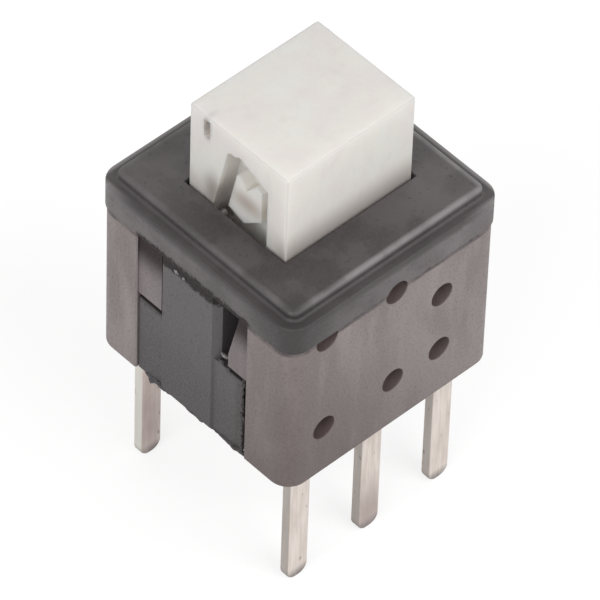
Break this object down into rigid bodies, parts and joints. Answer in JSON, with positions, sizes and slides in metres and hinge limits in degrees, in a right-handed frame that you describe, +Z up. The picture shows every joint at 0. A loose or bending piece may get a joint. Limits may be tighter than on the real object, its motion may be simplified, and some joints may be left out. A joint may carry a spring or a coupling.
{
  "type": "latching push button switch",
  "caption": "Small square two-pole latching push button switch with a white stem, dark cover, brown-grey base and flat solder pins in two rows.",
  "frame": {"origin": "centre of the base's underside, on the board seat", "axes": "+Z up along the button's travel, +X along a row of pins from the high terminals to the low ones, +Y from the front row to the rear row"},
  "size_m": [0.0058, 0.0058, 0.011],
  "materials": {
    "base_plastic": "matt brown-grey moulding resin",
    "cover_plastic": "dark blue-grey glass-filled nylon, satin",
    "button_plastic": "natural white acetal, smooth",
    "terminal_metal": "brass sheet, silver plated, slightly dulled",
    "contact_metal": "phosphor bronze strip, silver plated",
    "spring_steel": "drawn stainless spring wire"
  },
  "bodies": {
    "body": {"base": "base_plastic", "cover": "cover_plastic", "terminal_high_front": "terminal_metal", "terminal_common_front": "terminal_metal", "terminal_low_front": "terminal_metal", "terminal_high_rear": "terminal_metal", "terminal_common_rear": "terminal_metal", "terminal_low_rear": "terminal_metal", "return_spring": "spring_steel"},
    "button": {"button": "button_plastic", "contact_front": "contact_metal", "contact_rear": "contact_metal"},
    "latch": {"latch_pin": "spring_steel"}
  },
  "joints": [
    {"name": "button_press", "type": "slide", "parent": "body", "child": "button", "axis": [0, 0, -1], "range_m": [0, 0.002], "stiffness_N_per_m": 800, "deforming": ["return_spring"]},
    {"name": "latch_swing", "type": "hinge", "parent": "body", "child": "latch", "pos_m": [0, -0.00012, 0.00035], "axis": [1, 0, 0], "range_deg": [0, 6]}
  ],
  "couplings": [
    {"joint": "latch_swing", "follows": "button_press", "rad_per_m": 52.35}
  ]
}
